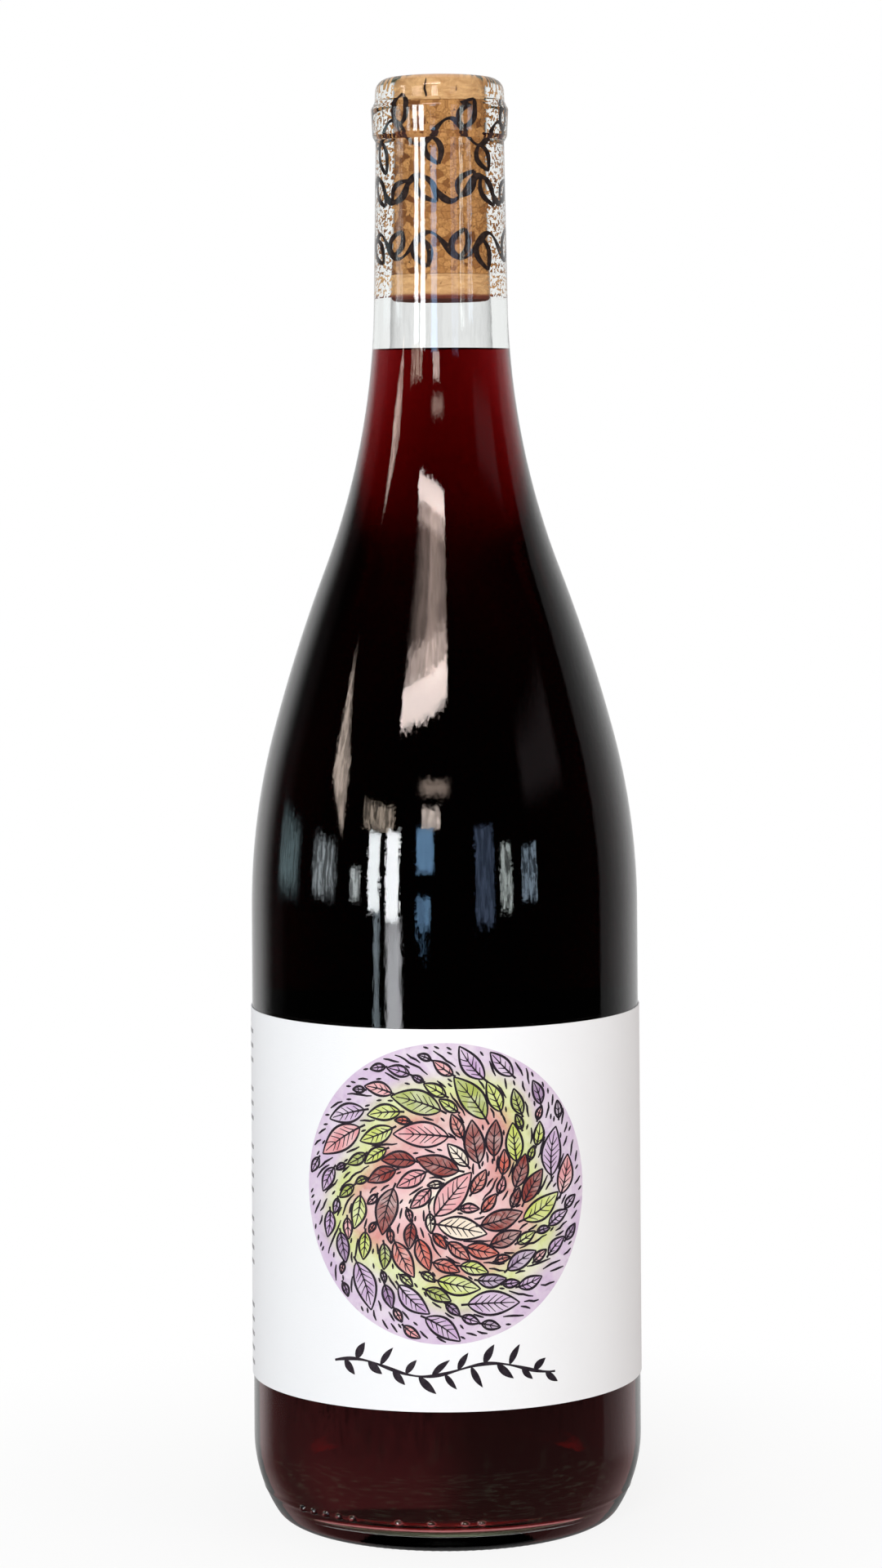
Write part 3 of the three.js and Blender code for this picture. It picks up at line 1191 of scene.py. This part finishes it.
    def wisps(self, bm: Mesh, draw: random.Random) -> None:
        """Draw short strokes along the swirl wherever no leaf lies."""
        taken: list[Flat] = []
        for _ in range(self.wisp_tries):
            angle, out = draw.uniform(0.0, math.tau), math.sqrt(draw.random())
            place = polar(self.centre, self.radius * out, angle)
            sway, longest = draw.uniform(-9.0, 9.0), draw.randint(3, 9)
            trail: list[Flat] = []
            while len(trail) < longest and self.is_free(place, taken):
                trail.append(place)
                heading = math.radians(self.swirl + sway + draw.uniform(-14.0, 14.0)) + math.atan2(
                    place[1] - self.centre[1], place[0] - self.centre[0])
                place = polar(place, self.wisp_step, heading)
            if len(trail) > 1:
                taken.extend(trail)
                stroke(bm, partial(along, trail), swelling(self.line, 0.55, 0.6),
                       2 * (len(trail) - 1))

    def build(self) -> list[bpy.types.Object]:
        """Lay the picture on the label and dress it."""
        self.scatter()
        fields, lines = self.fields(), self.lines()
        self.wrap.apply(fields, self.lift)
        self.wrap.apply(lines, self.lift + 0.03)
        return [
            finished(fields, "picture_wash", self.wash.make()),
            finished(lines, "picture_ink", self.ink.make()),
        ]


def merge_into(target: Mesh, other: Mesh) -> None:
    """Move the geometry of one mesh into another, and free it."""
    passing = stored(other, "passing")
    target.from_mesh(passing)
    bpy.data.meshes.remove(passing)


@dataclass
class Label:
    """The paper label with its picture, a sprig under it and plain rules at its side."""

    shape: BottleShape
    paper: UncoatedPaper
    wash: Watercolour
    ink: Ink
    pale_ink: Ink
    bottom: float = 30.2
    top: float = 106.7
    thickness: float = 0.2
    gap: float = 0.05
    seam_width: float = 12.0
    sprig_span: Flat = (-23.7, 22.6)
    sprig_height: float = 38.9
    sprig_leaves: int = 17
    rule_count: int = 24
    rule_gaps: tuple[int, ...] = (3, 7, 12, 17, 18)
    rule_top: float = 102.0
    rule_pitch: float = 3.0
    rule_height: float = 0.9
    rule_edge: float = math.radians(-79.0)

    @property
    def wrap(self) -> Wrap:
        """Wraps flat work onto the body."""
        return Wrap(Rise(self.shape.body()).radius, self.shape.radius_at_heel)

    @property
    def print_lift(self) -> float:
        """How far the print lies out from the body."""
        return self.gap + self.thickness + 0.004

    def sheet(self) -> bpy.types.Object:
        """The paper."""
        half = math.pi * self.shape.radius_at_heel - 0.5 * self.seam_width
        bm = bmesh.new()
        laid(bm, 320, 20, lambda s, t: (mix(-half, half, s), mix(self.bottom, self.top, t)))
        thickened(bm, self.thickness)
        self.wrap.apply(bm, self.gap)
        bmesh.ops.recalc_face_normals(bm, faces=bm.faces)
        return finished(bm, "paper_label", self.paper.make(), ["label"])

    def printed(self, bm: Mesh, name: str, ink: Ink) -> bpy.types.Object:
        """Print flat work on the paper."""
        thickened(bm, INK_THICKNESS)
        self.wrap.apply(bm, self.print_lift)
        return finished(bm, name, ink.make())

    def sprig(self) -> bpy.types.Object:
        """A leafy sprig in brushed ink, lying under the picture."""
        bm = bmesh.new()

        def stem(t: float) -> Flat:
            return (mix(*self.sprig_span, t),
                    self.sprig_height + 1.3 * math.sin(3.4 * math.pi * t + 0.4) - 0.6 * t)

        stroke(bm, stem, lambda t: 0.38 + 0.4 * math.sin(5.0 * math.pi * t + 0.4) ** 2, 96)
        draw = random.Random(5)
        for index in range(self.sprig_leaves):
            t = 0.05 + 0.9 * index / (self.sprig_leaves - 1)
            side = 1.0 if index % 2 else -1.0
            Leaf(stem(t), side * math.radians(draw.uniform(38, 62)),
                 draw.uniform(3.8, 5.2) * (0.75 + 0.25 * math.sin(math.pi * t)),
                 draw.uniform(1.2, 1.75), 0.12 * side).fill(bm, 10)
        bmesh.ops.remove_doubles(bm, verts=bm.verts, dist=FLAT_MERGE_DISTANCE)
        return self.printed(bm, "sprig_ink", self.ink)

    def side_panel(self) -> bpy.types.Object:
        """Plain rules in groups at the left side, where a maker's small print would be."""
        bm = bmesh.new()
        draw = random.Random(3)
        right = self.rule_edge * self.shape.radius_at_heel
        for line in range(self.rule_count):
            if line in self.rule_gaps:
                continue
            low = self.rule_top - self.rule_pitch * line - 0.5 * self.rule_height
            width = draw.uniform(24.0, 34.0)
            laid(bm, 24, 1, lambda s, t: (right - width * (1.0 - s), low + self.rule_height * t))
        return self.printed(bm, "side_rules", self.pale_ink)

    def build(self) -> list[bpy.types.Object]:
        """Wrap the paper and print it."""
        picture = Picture(self.wrap, self.wash, self.ink, self.print_lift)
        return [self.sheet(), *picture.build(), self.sprig(), self.side_panel()]


@dataclass(frozen=True)
class Softbox:
    """A lit panel seen in reflections: its span in azimuth and elevation in degrees.

    Azimuth 0 is the side that the label faces, and it grows to the viewer's right. The slant
    raises the panel's edges by so many degrees for each degree to the right of its middle, and
    the fade softens its ends to the left and right.
    """

    azimuth: Flat
    elevation: Flat
    color: Triple
    strength: float
    soft: float = 0.7
    slant: float = 0.0
    patchy: float = 0.0
    fade: float = 0.0


SOFTBOXES = (
    # Tall panes, and their images on the table below them
    Softbox((-46, -39), (-3.5, 9), (0.94, 0.98, 1.0), 22.0),
    Softbox((-35, -27), (-4.7, 9.8), (0.96, 0.98, 1.0), 24.0),
    Softbox((-42.3, -38.8), (-10, -3.5), (0.75, 0.9, 1.0), 6.0, patchy=0.5),
    Softbox((-34.5, -26), (-10, -5), (0.95, 0.96, 1.0), 9.0, 1.6),
    Softbox((-57.5, -51), (-2, 2.8), (0.92, 1.0, 1.0), 10.0, patchy=0.7),
    Softbox((-84, -69), (-1.8, 5.2), (0.85, 0.95, 1.0), 6.5, 1.6, patchy=0.75, fade=1.0),
    Softbox((-116, -98), (-2.5, 4.6), (0.65, 0.93, 1.0), 1.8, 2.0, patchy=0.5, fade=1.5),
    Softbox((-16.5, -6.5), (3.5, 11), (0.33, 0.62, 1.0), 7.5, patchy=0.2),
    Softbox((-16.5, -8.5), (-5.5, -1.0), (0.33, 0.62, 1.0), 6.0, patchy=0.3),
    Softbox((18.5, 29.5), (-5, 11), (0.45, 0.62, 1.0), 1.9, patchy=0.5),
    Softbox((33.5, 40.5), (-3.4, 7.4), (0.9, 1.0, 0.97), 7.5, patchy=0.85),
    Softbox((47, 56.5), (-2, 6.3), (0.62, 0.8, 1.0), 5.5, patchy=0.85),
    # Warm patches over the panes
    Softbox((-13.6, -2.5), (11.2, 14.5), (1.0, 0.84, 0.75), 13.0, patchy=0.4),
    Softbox((-14, 2), (17.0, 19.2), (1.0, 0.78, 0.65), 4.5, 1.0, fade=2.5),
    Softbox((-51, -31), (9.8, 13.9), (1.0, 0.82, 0.66), 6.5, patchy=0.8),
    Softbox((-77, -65), (11.5, 22), (1.0, 0.82, 0.70), 9.5, 1.5, slant=-0.6, patchy=0.5),
    Softbox((52, 82), (14, 23), (1.0, 0.85, 0.88), 0.2, 3.0),
    # Large bright ceiling panel, and the ceiling round it
    Softbox((-31, 3), (27.9, 31.4), (1.0, 0.84, 0.78), 20.0, 0.6, slant=0.11),
    Softbox((-30, 3), (31.2, 34.5), (1.0, 0.8, 0.72), 7.0, 0.8, slant=0.11, patchy=0.35),
    Softbox((-15, 3.5), (31, 48), (1.0, 0.76, 0.66), 3.4, 1.0, slant=0.08, patchy=0.25),
    Softbox((-26, -3), (31, 48), (1.0, 0.76, 0.66), 3.4, 1.0, slant=0.08, patchy=0.3, fade=6.0),
    # Table in front of the bottle, redder on the left
    Softbox((-150, 150), (-60, -12.2), (1.0, 0.3, 0.3), 0.28, 1.0),
    Softbox((-95, 0), (-42, -13), (1.0, 0.12, 0.14), 0.5, 1.5, fade=20.0),
)


class Surroundings:
    """A white room whose front half is dark in reflections but for the softboxes."""

    def __init__(self, recipe: Recipe) -> None:
        """Work out each ray's direction in degrees, and the pattern of the panes."""
        self.recipe = recipe
        self.path = recipe.node("LightPath").outputs
        self.way = recipe.node("TexCoord").outputs["Generated"]
        self.x, self.y, z = (recipe.axis(self.way, name) for name in "XYZ")
        self.azimuth = recipe.math("DEGREES", recipe.math(
            "ARCTAN2", self.x, recipe.times(self.y, -1.0)))
        self.aside = recipe.math("ABSOLUTE", self.azimuth)
        self.elevation = recipe.math("DEGREES", recipe.math("ARCSINE", z))
        strips = recipe.noise(recipe.stretched(self.way, (46.0, 46.0, 11.0)), 1.0, 2.0)
        self.panes = recipe.ease(strips, 0.42, 0.56)

    def band(self, value: Socket, span: Flat, soft: float) -> Socket:
        """1 inside a span and 0 outside it, with soft ends."""
        return self.recipe.times(
            self.recipe.ease(value, span[0] - soft, span[0] + soft),
            self.recipe.ease(value, span[1] - soft, span[1] + soft, 1.0, 0.0))

    def boxes(self) -> Socket:
        """The lit panels, with ragged edges."""
        recipe = self.recipe
        torn = recipe.noise(recipe.node("CombineXYZ", {
            "X": recipe.times(self.azimuth, 0.35), "Y": recipe.times(self.elevation, 2.0),
        }).outputs[0], 1.0, 2.0, 0.6)
        ragged = recipe.math("SUBTRACT", torn, 0.5)
        sideways = recipe.math("MULTIPLY_ADD", ragged, 4.0, self.azimuth)
        upward = recipe.math("MULTIPLY_ADD", ragged, 3.0, self.elevation)
        dark = recipe.math("SUBTRACT", 1.0, self.panes)
        total: Any = grey(0.0)
        for box in SOFTBOXES:
            middle = 0.5 * (box.azimuth[0] + box.azimuth[1])
            level = upward if not box.slant else recipe.math("SUBTRACT", upward, recipe.times(
                recipe.math("SUBTRACT", self.azimuth, middle), box.slant))
            share = recipe.times(self.band(sideways, box.azimuth, box.soft + box.fade),
                                 self.band(level, box.elevation, box.soft))
            if box.patchy:
                share = recipe.times(
                    share, recipe.math("SUBTRACT", 1.0, recipe.times(dark, box.patchy)))
            lit = tuple(box.strength * part for part in box.color) + (1.0,)
            total = recipe.blend(1.0, total, recipe.blend(share, grey(0.0), lit), "ADD")
        return total

    def mirrored(self) -> Socket:
        """What mirror images show: the panels, and the bright back of the room."""
        recipe = self.recipe
        on_left = recipe.ease(self.azimuth, -122.0, -146.0, 0.006, 0.78)
        on_right = recipe.math("ADD", recipe.ease(self.azimuth, 104.0, 107.0, 0.0, 0.2),
                               recipe.ease(self.azimuth, 107.0, 152.0, 0.0, 0.56))
        behind = recipe.times(recipe.math("MAXIMUM", on_left, on_right),
                              recipe.ease(self.elevation, -20.0, -10.0, 0.35, 1.0))
        return recipe.blend(1.0, self.boxes(), behind, "ADD")

    def passing(self) -> Socket:
        """What light through the glass has seen: the bright back, or the table low down."""
        recipe = self.recipe
        straight = recipe.times(recipe.ease(self.aside, 82.0, 100.0, 0.02, 0.93),
                                recipe.math("MULTIPLY_ADD", self.panes, 0.08, 0.92))
        # Light thrown back by the wall: bright beside the cork, dark where wine wets the wall
        silver = recipe.times(recipe.ease(self.aside, 112.0, 124.0, 0.02, 0.92),
                              recipe.ease(self.elevation, 14.0, 24.0, 1.0, 0.0))
        turned = recipe.times(
            silver, recipe.math("LESS_THAN", self.path["Transmission Depth"], 2.5))
        window = recipe.blend(recipe.math("GREATER_THAN", self.path["Glossy Depth"], 0.5),
                              straight, turned)
        streaks = recipe.ease(
            recipe.noise(recipe.stretched(self.way, (7.0, 7.0, 40.0)), 1.0, 3.0, 0.6), 0.52, 0.66)
        table = recipe.blend(streaks, (0.04, 0.033, 0.022, 1.0), (0.3, 0.42, 0.28, 1.0))
        return recipe.blend(recipe.ease(self.elevation, -21.0, -12.0), table, window)

    def daylight(self) -> Socket:
        """The soft light on matt surfaces: cool from the left, a little warmer on the right."""
        recipe = self.recipe
        left = recipe.math("ADD", recipe.times(self.x, -0.18), recipe.times(self.y, -0.05))
        tint = recipe.blend(recipe.ease(self.x, -1.0, 1.0),
                            (0.98, 1.0, 1.02, 1.0), (1.03, 0.97, 0.94, 1.0))
        return recipe.blend(1.0, tint, recipe.math("ADD", left, 0.565), "MULTIPLY")

    def show(self) -> None:
        """Give each kind of ray its own view of the room, and the camera plain white."""
        recipe, path = self.recipe, self.path
        seen = recipe.blend(path["Is Transmission Ray"], self.mirrored(), self.passing())
        clear = recipe.math("MAXIMUM", path["Is Glossy Ray"], path["Is Transmission Ray"])
        color = recipe.blend(clear, self.daylight(), seen)
        color = recipe.blend(path["Is Camera Ray"], color, grey(1.0))
        back = recipe.node("Background", {"Color": color, "Strength": 1.0})
        recipe.node("OutputWorld", {"Surface": back.outputs[0]})


@dataclass(frozen=True)
class PaleFloor(Finish):
    """A matt pale floor that fades to white away from the foot in the camera's view."""

    color: Color = (0.86, 0.86, 0.85, 1.0)
    fade: Flat = (0.04, 0.18)

    def paint(self, recipe: Recipe) -> None:
        """Mix the matt floor with white by the distance from the foot."""
        matt = recipe.node("BsdfDiffuse", {"Color": self.color})
        white = recipe.node("Emission", {"Color": grey(1.0), "Strength": 1.0})
        reach = recipe.node("VectorMath", {0: recipe.place()}, operation="LENGTH").outputs["Value"]
        bleached = recipe.times(recipe.ease(reach, *self.fade, 0.85, 1.0),
                                recipe.node("LightPath").outputs["Is Camera Ray"])
        recipe.show(recipe.node("MixShader", {
            0: bleached, 1: matt.outputs[0], 2: white.outputs[0],
        }))


@dataclass
class Studio:
    """A plain white studio: the surroundings, a pale floor, lamps and the camera."""

    floor_size: float = 6.0
    lamp_size: float = 0.8
    aim: Triple = (0.0, 0.0, 0.15)
    camera_place: Triple = (-0.00056, -0.8170, 0.21506)
    camera_pitch: float = 4.405
    camera_roll: float = -0.0062
    lens: float = 91.236
    sensor: float = 36.0

    def surroundings(self) -> None:
        """The world round the bottle."""
        world = bpy.data.worlds.new("white_studio")
        bpy.context.scene.world = world
        Surroundings(Recipe(world)).show()

    def floor(self) -> None:
        """The pale floor."""
        bm = bmesh.new()
        bmesh.ops.create_grid(bm, x_segments=1, y_segments=1, size=0.5 * self.floor_size)
        floor = linked("floor", stored(bm, "floor"))
        floor.data.materials.append(PaleFloor("pale_floor").make())
        floor.visible_glossy = floor.visible_transmission = False

    def lamp(self, name: str, place: Triple, power: float, color: Triple) -> None:
        """An area lamp that faces the middle of the bottle and isn't mirrored in it."""
        light = bpy.data.lights.new(name, "AREA")
        light.shape, light.size, light.energy, light.color = "DISK", self.lamp_size, power, color
        lamp = linked(name, light)
        lamp.location = place
        facing = (Vector(self.aim) - Vector(place)).to_track_quat("-Z", "Y")
        lamp.rotation_euler = facing.to_euler()
        lamp.visible_camera = lamp.visible_glossy = lamp.visible_transmission = False

    def camera(self) -> None:
        """The camera at the photograph's viewing angle."""
        data = bpy.data.cameras.new("camera")
        data.lens, data.sensor_width = self.lens, self.sensor
        camera = linked("camera", data)
        turn = (Matrix.Rotation(math.radians(90.0 - self.camera_pitch), 3, "X")
                @ Matrix.Rotation(self.camera_roll, 3, "Z"))
        camera.location = self.camera_place
        camera.rotation_euler = turn.to_euler()
        bpy.context.scene.camera = camera

    def build(self) -> None:
        """Set up the studio."""
        self.camera()
        self.surroundings()
        self.floor()
        self.lamp("key", (-0.35, -1.32, 0.9), 12.6, (0.97, 0.985, 1.0))
        self.lamp("fill", (1.2, -0.7, 0.5), 3.5, (1.0, 0.88, 0.82))
        bpy.context.scene.view_settings.view_transform = "Standard"


def main() -> None:
    """Build the studio and every piece, and report them."""
    logging.basicConfig(level=logging.INFO, format="%(name)s: %(message)s")
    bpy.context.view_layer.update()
    shape = BottleShape()
    Studio().build()
    glass = ClearBody("clear_glass", 1.5, (0.75, 1.0, 0.85, 1.0), 9.0, ripple=0.000007)
    wine = ClearBody("red_wine", 1.34, (0.67, 0.03, 0.06, 1.0), 330.0, mirror=grey(0.05))
    black = Ink("black_ink", (0.014, 0.010, 0.016, 1.0), (0.035, 0.028, 0.036, 1.0))
    brown = Ink("brown_ink_and_crack_shade", (0.016, 0.010, 0.010, 1.0), (0.05, 0.03, 0.025, 1.0))
    pale = Ink("grey_ink", (0.35, 0.35, 0.36, 1.0), (0.45, 0.45, 0.46, 1.0))
    pieces = [
        Glass(shape, glass).build(),
        Wine(shape, wine).build(),
        *Cork(shape, PressedCork("pressed_cork"), NaturalCork("natural_cork"), brown).build(),
        *Label(shape, UncoatedPaper("label_paper"), Watercolour("watercolour"), black,
               pale).build(),
    ]
    for piece in pieces:
        LOG.info("%s: %d faces", piece.name, len(piece.data.polygons))


if __name__ == "__main__":
    main()
